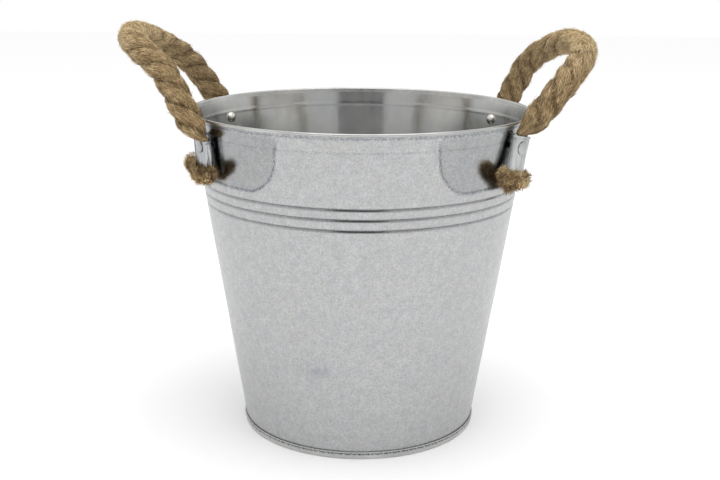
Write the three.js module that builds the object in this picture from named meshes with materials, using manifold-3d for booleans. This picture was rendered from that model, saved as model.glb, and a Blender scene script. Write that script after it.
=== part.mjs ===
// A galvanised florist bucket with two rope handles, each held by two riveted sleeves.
// Millimetres, +Z up. The origin is on the bucket's axis at the surface that it stands on.
// The front is -Y, the right handle is at +X and the left handle at -X.
import * as THREE from "three";
import { mergeVertices } from "three/addons/utils/BufferGeometryUtils.js";
import Module from "manifold-3d";

const wasm = await Module();
wasm.setup();

// Bucket wall: a cone of sheet with a rolled rim and three pressed rings.
const HEIGHT = 231; // floor to the top of the rolled rim
const RIM_RADIUS = 120; // outside of the cone at that height
const FOOT_RADIUS = 83.64; // outside of the cone at the floor
const SHEET = 0.6;
const GAP = 0.3; // between neighbouring pieces
const BUCKET_SEGMENTS = 48;
const BEAD_RADIUS = 1.05; // the rolled rim's own section
const BEAD_STANDOFF = 0.44; // the bead's centre, outside the cone
const BEAD_STEPS = 10;
const RING_HEIGHTS = [167.3, 174.5, 181.5];
const RING_HALF_WIDTH = 1.6;
const RING_DEPTH = 0.5;

// Bottom plate: a recessed disc whose flange folds up round the foot of the wall as a hem.
const RECESS = 5; // floor to the underside of the disc
const HEM_HEIGHT = 5.5;
const HEM_SHEET = 0.8;
const HEM_CHAMFER = 0.4;
const HEM_FOLD = 0.9; // sheet under the wall's foot

// Sleeves: strips of sheet wrapped round the rope, flattened, with a lap against the wall.
const SLEEVE_AZIMUTH = THREE.MathUtils.degToRad(31.6); // from the X axis, to the front and to the back
const SLEEVE_LENGTH = 25; // up the wall
const SLEEVE_HALF_WIDTH = 8.4;
const SLEEVE_HALF_DEPTH = 2.8;
const SLEEVE_STANDOFF = 4.4; // wall to the sleeve's own axis
const SLEEVE_SHEET = 0.7;
const SLEEVE_SQUARENESS = 3; // exponent of the rounded section
const SLEEVE_TILT = THREE.MathUtils.degToRad(3); // its foot stands further out than its top
const SLEEVE_SIDES = 24;
const LAP_WIDTH = 12;
const LAP_THICKNESS = 1.1;

// Rivets: one through each sleeve, its rope and the wall.
const RIVET_HEIGHT = 214.5; // above the floor
const RIVET_SEGMENTS = 12;
const SHANK_RADIUS = 2;
const DOME_RADIUS = 4; // head inside the bucket
const DOME_HEIGHT = 2.6;
const DOME_STEPS = 4;
const DOME_CLEARANCE = 0.6; // from the inner face of the wall
const DISC_RADIUS = 4.5; // flat head on the sleeve
const DISC_THICKNESS = 0.7;

// Rope handles: thick twisted rope that is pinched where it enters a sleeve.
const ROPE_RADIUS = 9;
const NECK_RADIUS = 7.2; // next to the sleeve
const NECK_LENGTH = 18;
const ROPE_SIDES = 10;
const ROPE_STEPS = 26;
const FLEX_STANDOFF = 11; // wall to the point where the rope flexes
const FLEX_RISE = 22; // the sleeve's middle to that point, up the wall
const END_HALF_WIDTH = 18.5; // frayed end below a sleeve
const END_HALF_HEIGHT = 7;
const END_HALF_DEPTH = 7;
const END_STANDOFF = 8.8;
const END_CURL = 10; // rise of the end's two tips

// Each handle's sleeves lean with their tops towards its middle, or away from it where lean is below 0.
// wedge is how much thicker a sleeve gets towards its handle's middle, for each millimetre round the wall.
// endDrop goes from a sleeve's middle to the middle of the frayed end below it.
// The crown is points along the middle of the rope, from the front sleeve to the back one.
const HANDLES = [
  {
    side: "right",
    outward: 1,
    sleeveHeight: 210.3,
    lean: THREE.MathUtils.degToRad(11),
    wedge: 0.2,
    endDrop: 20,
    crown: [[132, -60, 255], [148, -33, 269], [154, 1, 275], [146, 35, 275], [127, 60, 259]],
  },
  {
    side: "left",
    outward: -1,
    sleeveHeight: 207,
    lean: THREE.MathUtils.degToRad(-6),
    wedge: 0,
    endDrop: 12.5,
    crown: [[-129, -56, 260], [-152, -33, 277], [-158.5, -1, 281], [-150, 32, 275], [-130, 57, 258]],
  },
];
const ENDS = [
  { end: "front", along: -1 },
  { end: "back", along: 1 },
];

const FINISHES = {
  galvanised: { color: 0xb9bdbf, metalness: 0.9, roughness: 0.42 },
  bright: { color: 0xc9cccd, metalness: 0.95, roughness: 0.3 },
  aluminium: { color: 0xc4bfb4, metalness: 0.9, roughness: 0.35 },
  jute: { color: 0x9c7f58, metalness: 0, roughness: 0.95 },
};

const SLOPE = Math.atan2(RIM_RADIUS - FOOT_RADIUS, HEIGHT); // the wall's lean from upright
const WALL_FOOT = HEM_FOLD + GAP;

function wallRadius(height) {
  return FOOT_RADIUS + ((RIM_RADIUS - FOOT_RADIUS) * height) / HEIGHT;
}

// Booleans

function solidOf(geometry) {
  const bare = geometry.clone();
  bare.deleteAttribute("normal");
  bare.deleteAttribute("uv");
  const merged = mergeVertices(bare);
  const triVerts = new Uint32Array(merged.index.array);
  const vertProperties = merged.attributes.position.array;
  return new wasm.Manifold(new wasm.Mesh({ numProp: 3, vertProperties, triVerts }));
}

function geometryOf(solid) {
  const mesh = solid.getMesh();
  const geometry = new THREE.BufferGeometry();
  geometry.setAttribute("position", new THREE.BufferAttribute(mesh.vertProperties, 3));
  geometry.setIndex(new THREE.BufferAttribute(mesh.triVerts, 1));
  geometry.computeVertexNormals();
  return geometry;
}

// Shared shapes

function turned(profile, segments) {
  const points = profile.map(([radius, height]) => new THREE.Vector2(radius, height));
  return new THREE.LatheGeometry(points, segments).rotateX(Math.PI / 2);
}

// A rounded section with its half depth along X and its half width along Y, thicker to one side.
function roundedSection(halfDepth, halfWidth, wedge) {
  const points = [];
  for (let i = 0; i < SLEEVE_SIDES; i++) {
    const angle = (2 * Math.PI * i) / SLEEVE_SIDES;
    const x = Math.cos(angle);
    const y = Math.sin(angle);
    const swell = (Math.abs(x) ** SLEEVE_SQUARENESS + Math.abs(y) ** SLEEVE_SQUARENESS)
      ** (-1 / SLEEVE_SQUARENESS);
    const depth = halfDepth * x * swell;
    const width = halfWidth * y * swell;
    const outwards = (depth / SLEEVE_HALF_DEPTH + 1) / 2;
    points.push(new THREE.Vector2(depth + wedge * width * outwards, width));
  }
  return points;
}

// A section extruded along Z and centred on the sleeve's axis.
function sleevePrism(shape, length) {
  const prism = new THREE.ExtrudeGeometry(shape, { depth: length, bevelEnabled: false });
  return prism.translate(SLEEVE_STANDOFF, 0, -length / 2);
}

function rivetHole(lift) {
  const length = 4 * SLEEVE_STANDOFF;
  const hole = new THREE.CylinderGeometry(SHANK_RADIUS + GAP, SHANK_RADIUS + GAP, length, RIVET_SEGMENTS);
  return hole.rotateZ(Math.PI / 2).translate(SLEEVE_STANDOFF, 0, lift);
}

// Bucket

function wallFace(inset) {
  const face = [[wallRadius(WALL_FOOT) - inset, WALL_FOOT]];
  for (const ringHeight of RING_HEIGHTS) {
    for (const step of [-1, 0, 1]) {
      const height = ringHeight + step * RING_HALF_WIDTH;
      const depth = RING_DEPTH * (1 - Math.abs(step));
      face.push([wallRadius(height) - inset - depth, height]);
    }
  }
  return face;
}

// The rolled rim, from where it leaves the outer face, over the top, to the inner face.
function rimBead() {
  const height = HEIGHT - BEAD_RADIUS;
  const radius = wallRadius(height) + BEAD_STANDOFF;
  const down = -Math.PI / 2 - SLOPE;
  const start = down - Math.asin(BEAD_STANDOFF / BEAD_RADIUS);
  const finish = 2 * Math.PI + down - Math.asin((BEAD_STANDOFF + SHEET) / BEAD_RADIUS);
  const points = [];
  for (let i = 0; i <= BEAD_STEPS; i++) {
    const angle = THREE.MathUtils.lerp(start, finish, i / BEAD_STEPS);
    points.push([radius + BEAD_RADIUS * Math.cos(angle), height + BEAD_RADIUS * Math.sin(angle)]);
  }
  return points;
}

function bucketWall(fittings) {
  const inner = wallFace(SHEET / Math.cos(SLOPE)).reverse();
  const outer = wallFace(0);
  const profile = [...outer, ...rimBead(), ...inner, outer[0]];
  let wall = solidOf(turned(profile, BUCKET_SEGMENTS));
  for (const { frame, rivetLift } of fittings) {
    frame.updateMatrixWorld();
    wall = wall.subtract(solidOf(rivetHole(rivetLift).applyMatrix4(frame.matrixWorld)));
  }
  return geometryOf(wall);
}

function bottomPlate() {
  const top = RECESS + SHEET;
  const insideLeg = (height) => wallRadius(height) - SHEET - 2 * GAP;
  const outsideLeg = (height) => wallRadius(height) + GAP;
  const profile = [
    [0, RECESS],
    [insideLeg(RECESS) - SHEET, RECESS],
    [insideLeg(0) - SHEET, HEM_CHAMFER],
    [insideLeg(0) - SHEET + HEM_CHAMFER, 0],
    [outsideLeg(0) + HEM_SHEET, 0],
    [outsideLeg(0) + HEM_SHEET + HEM_CHAMFER, HEM_CHAMFER],
    [outsideLeg(HEM_HEIGHT) + HEM_SHEET, HEM_HEIGHT - HEM_CHAMFER],
    [outsideLeg(HEM_HEIGHT) + HEM_CHAMFER, HEM_HEIGHT],
    [outsideLeg(HEM_HEIGHT), HEM_HEIGHT],
    [outsideLeg(HEM_FOLD), HEM_FOLD],
    [insideLeg(HEM_FOLD), HEM_FOLD],
    [insideLeg(top), top],
    [0, top],
  ];
  return turned(profile, BUCKET_SEGMENTS);
}

// Handle fittings, in a sleeve's frame: X out of the wall, Y round it, Z up the sleeve.

function sleeve({ rivetLift, wedge }) {
  const section = new THREE.Shape(roundedSection(SLEEVE_HALF_DEPTH, SLEEVE_HALF_WIDTH, wedge));
  const inside = roundedSection(SLEEVE_HALF_DEPTH - SLEEVE_SHEET, SLEEVE_HALF_WIDTH - SLEEVE_SHEET, wedge);
  section.holes.push(new THREE.Path(inside));
  const lap = new THREE.BoxGeometry(LAP_THICKNESS, LAP_WIDTH, SLEEVE_LENGTH);
  const lapMiddle = SLEEVE_STANDOFF - SLEEVE_HALF_DEPTH + SLEEVE_SHEET / 2 - LAP_THICKNESS / 2;
  lap.translate(lapMiddle, 0, 0);
  const wrapped = solidOf(sleevePrism(section, SLEEVE_LENGTH)).add(solidOf(lap));
  return geometryOf(wrapped.subtract(solidOf(rivetHole(rivetLift))));
}

function grippedRope({ rivetLift, wedge }) {
  const squeeze = SLEEVE_SHEET + GAP;
  const section = roundedSection(SLEEVE_HALF_DEPTH - squeeze, SLEEVE_HALF_WIDTH - squeeze, wedge);
  const rope = solidOf(sleevePrism(new THREE.Shape(section), SLEEVE_LENGTH));
  return geometryOf(rope.subtract(solidOf(rivetHole(rivetLift))));
}

// A domed head inside the wall, a shank, and a flat head on the sleeve.
function rivet({ rivetLift, wedge }) {
  const domeBase = -SHEET - DOME_CLEARANCE;
  const discBase = SLEEVE_STANDOFF + SLEEVE_HALF_DEPTH + GAP + DISC_RADIUS * Math.abs(wedge);
  const profile = [];
  for (let i = 0; i <= DOME_STEPS; i++) {
    const angle = (Math.PI / 2) * (1 - i / DOME_STEPS);
    profile.push([DOME_RADIUS * Math.cos(angle), domeBase - DOME_HEIGHT * Math.sin(angle)]);
  }
  profile.push([SHANK_RADIUS, domeBase]);
  profile.push([SHANK_RADIUS, discBase]);
  profile.push([DISC_RADIUS, discBase]);
  profile.push([DISC_RADIUS, discBase + DISC_THICKNESS / 2]);
  profile.push([DISC_RADIUS / 2, discBase + DISC_THICKNESS]);
  profile.push([0, discBase + DISC_THICKNESS]);
  return turned(profile, RIVET_SEGMENTS).rotateY(Math.PI / 2).translate(0, 0, rivetLift);
}

// The splayed, frayed end of the rope, curling up round the sleeve's mouth.
function ropeEnd({ wedge, endDrop }) {
  const end = new THREE.SphereGeometry(1, 14, 8);
  end.rotateX(Math.PI / 2).scale(END_HALF_DEPTH, END_HALF_WIDTH, END_HALF_HEIGHT);
  const position = end.attributes.position;
  for (let i = 0; i < position.count; i++) {
    const reach = position.getY(i) / END_HALF_WIDTH;
    position.setZ(i, position.getZ(i) + END_CURL * reach * reach);
  }
  end.translate(END_STANDOFF, 0, -endDrop);
  const clearance = roundedSection(SLEEVE_HALF_DEPTH + GAP, SLEEVE_HALF_WIDTH + GAP, wedge);
  const envelope = sleevePrism(new THREE.Shape(clearance), SLEEVE_LENGTH + 2 * GAP);
  return geometryOf(solidOf(end).subtract(solidOf(envelope)));
}

// Rope loop, in the bucket's own frame

class PartOfCurve extends THREE.Curve {
  constructor(whole, from, to) {
    super();
    Object.assign(this, { whole, from, to });
  }

  getPoint(t, target = new THREE.Vector3()) {
    return this.whole.getPointAt(THREE.MathUtils.lerp(this.from, this.to, t), target);
  }
}

// The tapered stretch from a flex point into the rope, with a ball where it flexes.
function neck(flexPoint, direction) {
  const ball = new THREE.SphereGeometry(NECK_RADIUS, ROPE_SIDES, ROPE_SIDES / 2);
  const taper = new THREE.CylinderGeometry(ROPE_RADIUS, NECK_RADIUS, NECK_LENGTH, ROPE_SIDES);
  taper.translate(0, NECK_LENGTH / 2, 0);
  const turn = new THREE.Quaternion().setFromUnitVectors(new THREE.Vector3(0, 1, 0), direction);
  taper.applyQuaternion(turn);
  return solidOf(ball).add(solidOf(taper)).translate(flexPoint.toArray());
}

function ropeLoop(mouths, flexPoints, crown) {
  const middle = crown.map((point) => new THREE.Vector3(...point));
  const route = [mouths[0], flexPoints[0], ...middle, flexPoints[1], mouths[1]];
  const whole = new THREE.CatmullRomCurve3(route, false, "catmullrom");
  const length = whole.getLength();
  const pinched = mouths[0].distanceTo(flexPoints[0]);
  const starts = (pinched + NECK_LENGTH * 0.8) / length;
  const body = new PartOfCurve(whole, starts, 1 - starts);
  const section = new THREE.Shape();
  section.absarc(0, 0, ROPE_RADIUS, 0, 2 * Math.PI, false);
  const options = { steps: ROPE_STEPS, extrudePath: body, bevelEnabled: false, curveSegments: ROPE_SIDES / 2 };
  let loop = solidOf(new THREE.ExtrudeGeometry(section, options));
  const targets = [body.getPoint(0), body.getPoint(1)];
  flexPoints.forEach((flexPoint, i) => {
    const direction = targets[i].clone().sub(flexPoint).normalize();
    loop = loop.add(neck(flexPoint, direction));
  });
  return geometryOf(loop);
}

// Assembly

const bucket = new THREE.Group();

function place(parent, name, geometry, finish) {
  const mesh = new THREE.Mesh(geometry, new THREE.MeshStandardMaterial(FINISHES[finish]));
  mesh.name = name;
  parent.add(mesh);
}

// A frame at a sleeve's middle, turned about its rivet: X out of the wall, Y round it, Z up the sleeve.
function sleeveFrame({ outward, lean }, along, rivetLift) {
  const azimuth = Math.atan2(along * Math.sin(SLEEVE_AZIMUTH), outward * Math.cos(SLEEVE_AZIMUTH));
  const radius = wallRadius(RIVET_HEIGHT);
  const frame = new THREE.Group();
  frame.position.set(radius * Math.cos(azimuth), radius * Math.sin(azimuth), RIVET_HEIGHT);
  frame.rotation.set(along * outward * lean, SLOPE - SLEEVE_TILT, azimuth, "ZYX");
  frame.translateZ(-rivetLift);
  frame.updateMatrixWorld();
  bucket.add(frame);
  return frame;
}

const fittings = [];
for (const handle of HANDLES) {
  const side = handle.side;
  const rivetLift = (RIVET_HEIGHT - handle.sleeveHeight) / Math.cos(SLOPE);
  const mouths = [];
  const flexPoints = [];
  for (const { end, along } of ENDS) {
    const frame = sleeveFrame(handle, along, rivetLift);
    const wedge = -along * handle.outward * handle.wedge;
    const fitting = { frame, rivetLift, wedge, endDrop: handle.endDrop };
    fittings.push(fitting);
    mouths.push(frame.localToWorld(new THREE.Vector3(SLEEVE_STANDOFF, 0, SLEEVE_LENGTH / 2)));
    flexPoints.push(frame.localToWorld(new THREE.Vector3(FLEX_STANDOFF, 0, FLEX_RISE)));
    place(frame, `${side}_${end}_sleeve`, sleeve(fitting), "bright");
    place(frame, `${side}_${end}_rivet`, rivet(fitting), "aluminium");
    place(frame, `${side}_${end}_gripped_rope`, grippedRope(fitting), "jute");
    place(frame, `${side}_${end}_rope_end`, ropeEnd(fitting), "jute");
  }
  place(bucket, `${side}_rope_loop`, ropeLoop(mouths, flexPoints, handle.crown), "jute");
}
place(bucket, "bucket_wall", bucketWall(fittings), "galvanised");
place(bucket, "bottom_plate", bottomPlate(), "galvanised");

export default bucket;
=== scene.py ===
import math

import bpy
import numpy as np
from mathutils import Matrix, Vector


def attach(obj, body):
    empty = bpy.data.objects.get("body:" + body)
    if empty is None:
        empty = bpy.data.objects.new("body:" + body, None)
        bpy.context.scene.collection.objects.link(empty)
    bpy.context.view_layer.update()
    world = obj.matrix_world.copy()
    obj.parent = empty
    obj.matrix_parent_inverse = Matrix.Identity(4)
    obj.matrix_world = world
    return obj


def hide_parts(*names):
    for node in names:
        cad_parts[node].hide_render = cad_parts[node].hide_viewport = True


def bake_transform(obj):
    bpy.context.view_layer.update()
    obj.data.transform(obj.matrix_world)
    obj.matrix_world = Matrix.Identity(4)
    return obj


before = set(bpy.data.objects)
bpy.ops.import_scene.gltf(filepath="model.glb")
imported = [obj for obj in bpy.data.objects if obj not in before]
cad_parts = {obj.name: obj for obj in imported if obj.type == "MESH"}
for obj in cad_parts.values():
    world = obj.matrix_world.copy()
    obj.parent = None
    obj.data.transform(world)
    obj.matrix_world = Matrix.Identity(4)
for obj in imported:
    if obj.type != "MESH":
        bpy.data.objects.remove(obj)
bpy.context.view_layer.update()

scene = bpy.context.scene
MM = 0.001
TURN = 2 * math.pi

# Driving dimensions, in metres. Heights are above the floor.
HEIGHT = 231 * MM
RIM_RADIUS = 120 * MM
FOOT_RADIUS = 83.64 * MM
SLOPE = math.atan2(RIM_RADIUS - FOOT_RADIUS, HEIGHT)
SHEET = 0.6 * MM
WALL_FOOT = 1.2 * MM
BEAD_RADIUS = 1.05 * MM
BEAD_STANDOFF = 0.44 * MM
RING_HEIGHTS = [167.3 * MM, 174.5 * MM, 181.5 * MM]
RING_DEPTH = 0.75 * MM
RING_WIDTH = 0.8 * MM

RECESS = 5 * MM
HEM_HEIGHT = 5.5 * MM
HEM_SHEET = 0.8 * MM
GAP = 0.3 * MM

SLEEVE_AZIMUTH = math.radians(31.6)
SLEEVE_LENGTH = 25 * MM
SLEEVE_HALF_WIDTH = 8.4 * MM
SLEEVE_HALF_DEPTH = 2.8 * MM
SLEEVE_STANDOFF = 4.4 * MM
SLEEVE_TILT = math.radians(3)  # its foot stands further out than its top
RIVET_HEIGHT = 214.5 * MM

ROPE_RADIUS = 9 * MM
ROPE_LAY = 48 * MM
FLEX_STANDOFF = 11 * MM
FLEX_RISE = 22 * MM

# The crown is the rope's middle line, from the front sleeve to the back one, in millimetres.
# A handle's sleeves lean with their tops towards its middle, or away from it where lean is below 0.
# wedge is how much thicker a sleeve gets towards its handle's middle.
# end_drop is how far the frayed ends hang below the sleeves' middles, and end_shift is how far they
# stand away from the handle's middle.
HANDLES = [
    {
        "side": "right", "outward": 1, "sleeve_height": 210.3 * MM, "lean": math.radians(11),
        "wedge": 0.2, "end_drop": 20 * MM, "end_shift": 2.2 * MM, "seed": 11,
        "crown": [(132, -60, 255), (148, -33, 269), (154, 1, 275), (146, 35, 275), (127, 60, 259)],
    },
    {
        "side": "left", "outward": -1, "sleeve_height": 207 * MM, "lean": math.radians(-6),
        "wedge": 0.0, "end_drop": 12.5 * MM, "end_shift": -0.5 * MM, "seed": 23,
        "crown": [(-129, -56, 260), (-152, -33, 277), (-158.5, -1, 281), (-150, 32, 275), (-130, 57, 258)],
    },
]
ENDS = [("front", -1), ("back", 1)]


def wall_radius(height):
    return FOOT_RADIUS + (RIM_RADIUS - FOOT_RADIUS) * height / HEIGHT


def rivet_lift(handle):
    """A sleeve's middle to its rivet, up the sleeve."""
    return (RIVET_HEIGHT - handle["sleeve_height"]) / math.cos(SLOPE)


def sleeve_frame(handle, along):
    """A frame at a sleeve's middle, turned about its rivet.

    X points out of the wall, Y round it and Z up the sleeve.
    """
    outward = handle["outward"]
    azimuth = math.atan2(along * math.sin(SLEEVE_AZIMUTH), outward * math.cos(SLEEVE_AZIMUTH))
    radial = np.array([math.cos(azimuth), math.sin(azimuth), 0.0])
    around = np.array([-math.sin(azimuth), math.cos(azimuth), 0.0])
    upright = np.array([0.0, 0.0, 1.0])
    slope = SLOPE - SLEEVE_TILT
    out = radial * math.cos(slope) - upright * math.sin(slope)
    up = radial * math.sin(slope) + upright * math.cos(slope)
    turn = along * outward * handle["lean"]
    side = around * math.cos(turn) + up * math.sin(turn)
    rise = up * math.cos(turn) - around * math.sin(turn)
    origin = radial * wall_radius(RIVET_HEIGHT) + upright * RIVET_HEIGHT - rise * rivet_lift(handle)
    return origin, np.column_stack([out, side, rise])


def placed(wall, points):
    """Moves points from a sleeve's frame to where they belong."""
    origin, axes = wall
    return origin + np.asarray(points) @ axes.T


# Camera: the first thing made, with the ropes next.

CAMERA_PLACE = Vector((0, -0.7968, 0.3385))
CAMERA_DIP = math.radians(14.40)
CAMERA_ROLL = math.radians(0.479)
CAMERA_LENS = 56.3
CAMERA_SENSOR = 36
NEAREST_SEEN = 0.01

camera_data = bpy.data.cameras.new("camera")
camera_data.lens = CAMERA_LENS
camera_data.sensor_width = CAMERA_SENSOR
camera_data.clip_start = NEAREST_SEEN
camera = bpy.data.objects.new("camera", camera_data)
scene.collection.objects.link(camera)
tilt = Matrix.Rotation(math.pi / 2 - CAMERA_DIP, 4, "X")
roll = Matrix.Rotation(CAMERA_ROLL, 4, "Z")
camera.matrix_world = Matrix.Translation(CAMERA_PLACE) @ tilt @ roll
scene.camera = camera


# Mesh helpers

def smooth_step(low, high, value):
    """Rises smoothly from 0 at low to 1 at high."""
    t = np.clip((value - low) / (high - low), 0, 1)
    return t * t * (3 - 2 * t)


def bell(distance, width):
    """1 where distance is 0, and close to 0 beyond twice the width."""
    return np.exp(-((distance / width) ** 2))


def ripple(seed, u, v, u_rates, v_rates):
    """A smooth wandering value of about -1 to 1. Whole u rates keep it seamless round a turn."""
    random = np.random.default_rng(seed)
    total = 0
    for u_rate, v_rate in zip(u_rates, v_rates):
        phase, tilt = random.uniform(0, TURN, 2)
        total = total + np.sin(u * u_rate + v * v_rate + phase) * np.cos(v * v_rate * 0.61 + tilt)
    return total / math.sqrt(len(u_rates))


def grid_quads(rows, columns, closed_rows=False):
    """The faces of a grid of points whose columns close up, and whose rows may too."""
    row = np.arange(rows if closed_rows else rows - 1)
    row, column = np.meshgrid(row, np.arange(columns), indexing="ij")
    next_row, next_column = (row + 1) % rows, (column + 1) % columns
    corners = [
        row * columns + column,
        row * columns + next_column,
        next_row * columns + next_column,
        next_row * columns + column,
    ]
    return np.stack(corners, axis=-1).reshape(-1, 4)


def make_piece(name, points, faces, material, slot, body=None, replaced=()):
    """A mesh with its material, the body it rides on and the nodes it replaces. The slot is not used."""
    mesh = bpy.data.meshes.new(name)
    mesh.from_pydata(np.asarray(points).tolist(), [], [list(face) for face in faces])
    mesh.materials.append(material)
    mesh.shade_smooth()
    piece = bpy.data.objects.new(name, mesh)
    scene.collection.objects.link(piece)
    if body:
        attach(piece, body)
    if replaced:
        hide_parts(*replaced)
    return piece


def add_values(piece, name, values):
    """Gives each point of a piece a value that its material reads by name."""
    attribute = piece.data.attributes.new(name, "FLOAT", "POINT")
    attribute.data.foreach_set("value", np.asarray(values, dtype=np.float32).ravel())


def turned(profile, columns):
    """Points and faces of a closed profile of (radius, height) turned round Z, both ends on the axis."""
    profile = np.asarray(profile)
    angle = np.arange(columns) * TURN / columns
    ring = profile[1:-1]
    points = np.stack([
        ring[:, :1] * np.cos(angle),
        ring[:, :1] * np.sin(angle),
        np.repeat(ring[:, 1:], columns, axis=1),
    ], axis=-1).reshape(-1, 3)
    first, last = len(points), len(points) + 1
    poles = [[0, 0, profile[0, 1]], [0, 0, profile[-1, 1]]]
    points = np.vstack([points, poles])
    faces = grid_quads(len(ring), columns).tolist()
    top_row = (len(ring) - 1) * columns
    for i in range(columns):
        j = (i + 1) % columns
        faces.append([first, j, i])
        faces.append([last, top_row + i, top_row + j])
    return points, faces


# Materials

def new_material(name):
    material = bpy.data.materials.new(name)
    material.use_nodes = True
    return material, material.node_tree, material.node_tree.nodes["Principled BSDF"]


def add_node(tree, kind, inputs=None, **settings):
    node = tree.nodes.new(kind)
    for setting, value in settings.items():
        setattr(node, setting, value)
    for socket, value in (inputs or {}).items():
        if isinstance(value, bpy.types.NodeSocket):
            tree.links.new(value, node.inputs[socket])
        else:
            node.inputs[socket].default_value = value
    return node


def noise(tree, place, scale, detail=2.0, roughness=0.55):
    node = add_node(tree, "ShaderNodeTexNoise", {"Vector": place, "Scale": scale, "Detail": detail,
                                                 "Roughness": roughness})
    return node.outputs["Fac"]


def ramp(tree, value, low, high, start=0.0, finish=1.0):
    node = add_node(tree, "ShaderNodeMapRange", {"Value": value, "From Min": low, "From Max": high,
                                                 "To Min": start, "To Max": finish})
    return node.outputs["Result"]


def maths(tree, operation, a, b):
    return add_node(tree, "ShaderNodeMath", {0: a, 1: b}, operation=operation).outputs["Value"]


def blended(tree, factor, a, b, blend_type="MIX"):
    node = add_node(tree, "ShaderNodeMix", {0: factor, 6: a, 7: b}, data_type="RGBA", blend_type=blend_type)
    return node.outputs[2]


def stretched(tree, place, scale):
    return add_node(tree, "ShaderNodeMapping", {"Vector": place, "Scale": scale}).outputs["Vector"]


def object_place(tree):
    return add_node(tree, "ShaderNodeTexCoord").outputs["Object"]


def value_of(tree, name):
    return add_node(tree, "ShaderNodeAttribute", attribute_name=name).outputs["Fac"]


def bumped(tree, shader, height, strength, distance):
    node = add_node(tree, "ShaderNodeBump", {"Height": height, "Strength": strength, "Distance": distance})
    tree.links.new(node.outputs["Normal"], shader.inputs["Normal"])


def galvanised():
    """Satin zinc, mottled and speckled. The pressed panels are dimmer and glossier, with painted shade along
    their edges, in the ring and roller grooves and below the rim.
    """
    material, tree, shader = new_material("galvanised_satin")
    place = object_place(tree)
    patches = noise(tree, place, 210, 6.0, 0.75)
    tint = noise(tree, stretched(tree, place, (1, 1, 0.8)), 140, 3.0, 0.6)
    grain = noise(tree, place, 900, 2.0, 0.6)
    panel, border, stain = (value_of(tree, name) for name in ("panel", "border", "stain"))
    cool_warm = blended(tree, ramp(tree, tint, 0.36, 0.64), (0.420, 0.436, 0.452, 1),
                        (0.452, 0.446, 0.428, 1))
    mottled = blended(tree, ramp(tree, patches, 0.36, 0.64), cool_warm, (0.525, 0.528, 0.528, 1))
    speckled = blended(tree, ramp(tree, grain, 0.42, 0.66, 0.0, 0.62), mottled, (0.31, 0.32, 0.33, 1))
    # The panel value also covers the ring grooves, so this dimming is painted shade in them.
    dimmed = blended(tree, 1.0, speckled, (0.76, 0.76, 0.765, 1), "MULTIPLY")
    pressed = blended(tree, panel, speckled, dimmed)
    # Painted shade: the border value darkens the sheet along the panels' edges, in the grooves and below the
    # rim.
    edge_shade = maths(tree, "MULTIPLY", border, ramp(tree, grain, 0.38, 0.56, 0.25, 1.0))
    edge_shaded = blended(tree, maths(tree, "MULTIPLY", edge_shade, 0.9), pressed, (0.075, 0.09, 0.115, 1))
    stained = blended(tree, maths(tree, "MULTIPLY", stain, ramp(tree, tint, 0.38, 0.62)), edge_shaded,
                      (0.27, 0.29, 0.33, 1))
    tree.links.new(stained, shader.inputs["Base Color"])
    rough = ramp(tree, patches, 0.3, 0.7, 0.40, 0.32)
    smoother = maths(tree, "SUBTRACT", rough, maths(tree, "MULTIPLY", panel, 0.17))
    tree.links.new(smoother, shader.inputs["Roughness"])
    shader.inputs["Metallic"].default_value = 1.0
    bumped(tree, shader, maths(tree, "ADD", grain, patches), 0.3, 0.12 * MM)
    return material


def bright_steel(name, roughness_low, roughness_high, dark, light, streak, banding=0.0):
    """Polished steel with cloudy tones. banding is how much of the shade comes from fine streaks."""
    material, tree, shader = new_material(name)
    place = object_place(tree)
    cloud = noise(tree, place, 45, 3.0)
    fine = noise(tree, stretched(tree, place, streak), 260, 3.0)
    shade = ramp(tree, cloud, 0.3, 0.7, 0.0, 1 - banding)
    if banding:
        shade = maths(tree, "ADD", shade, ramp(tree, fine, 0.38, 0.62, 0.0, banding))
    tree.links.new(blended(tree, shade, dark, light), shader.inputs["Base Color"])
    tree.links.new(ramp(tree, fine, 0.3, 0.7, roughness_low, roughness_high), shader.inputs["Roughness"])
    shader.inputs["Metallic"].default_value = 1.0
    bumped(tree, shader, fine, 0.12, 0.05 * MM)
    return material


def dry_surface(tree, shader, height, depth):
    """The matt, slightly furry finish of plant fibre."""
    shader.inputs["Roughness"].default_value = 0.92
    shader.inputs["Specular IOR Level"].default_value = 0.2
    shader.inputs["Sheen Weight"].default_value = 0.12
    shader.inputs["Sheen Roughness"].default_value = 0.5
    bumped(tree, shader, height, 0.6, depth)


def jute(name, lit_crown_colour, light, middle, dark):
    """Twisted jute, paler at the crown with painted light, and with painted shade in the pits of its fibre
    and in the hollows between its strands.
    """
    material, tree, shader = new_material(name)
    place = add_node(tree, "ShaderNodeUVMap", uv_map="strand").outputs["UV"]
    fibre = noise(tree, stretched(tree, place, (1.0, 0.22, 1.0)), 1100, 4.0, 0.7)
    knots = noise(tree, stretched(tree, place, (1.0, 0.35, 1.0)), 650, 3.0, 0.6)
    patch = noise(tree, stretched(tree, place, (1.0, 0.45, 1.0)), 170, 3.0)
    fine_shade = ramp(tree, fibre, 0.38, 0.62, 0.0, 0.65)
    broad_shade = ramp(tree, patch, 0.3, 0.7, 0.0, 0.35)
    shade = maths(tree, "ADD", fine_shade, broad_shade)
    # Painted light: the rope is paler towards the crown, where more light falls on it than on the arms.
    crown_lit = blended(tree, value_of(tree, "crown"), light, lit_crown_colour)
    toned_and_lit = blended(tree, shade, middle, crown_lit)
    # Painted shade in the pits, where the fibre's bump is low.
    pit_shade = maths(tree, "MULTIPLY", ramp(tree, knots, 0.46, 0.34), ramp(tree, fibre, 0.56, 0.44))
    pit_shaded = blended(tree, pit_shade, toned_and_lit, dark)
    # Painted shade along the creases between the strands.
    colour = blended(tree, value_of(tree, "crease_shade"), pit_shaded, dark)
    tree.links.new(colour, shader.inputs["Base Color"])
    dry_surface(tree, shader, fibre, 0.35 * MM)
    return material


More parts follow.
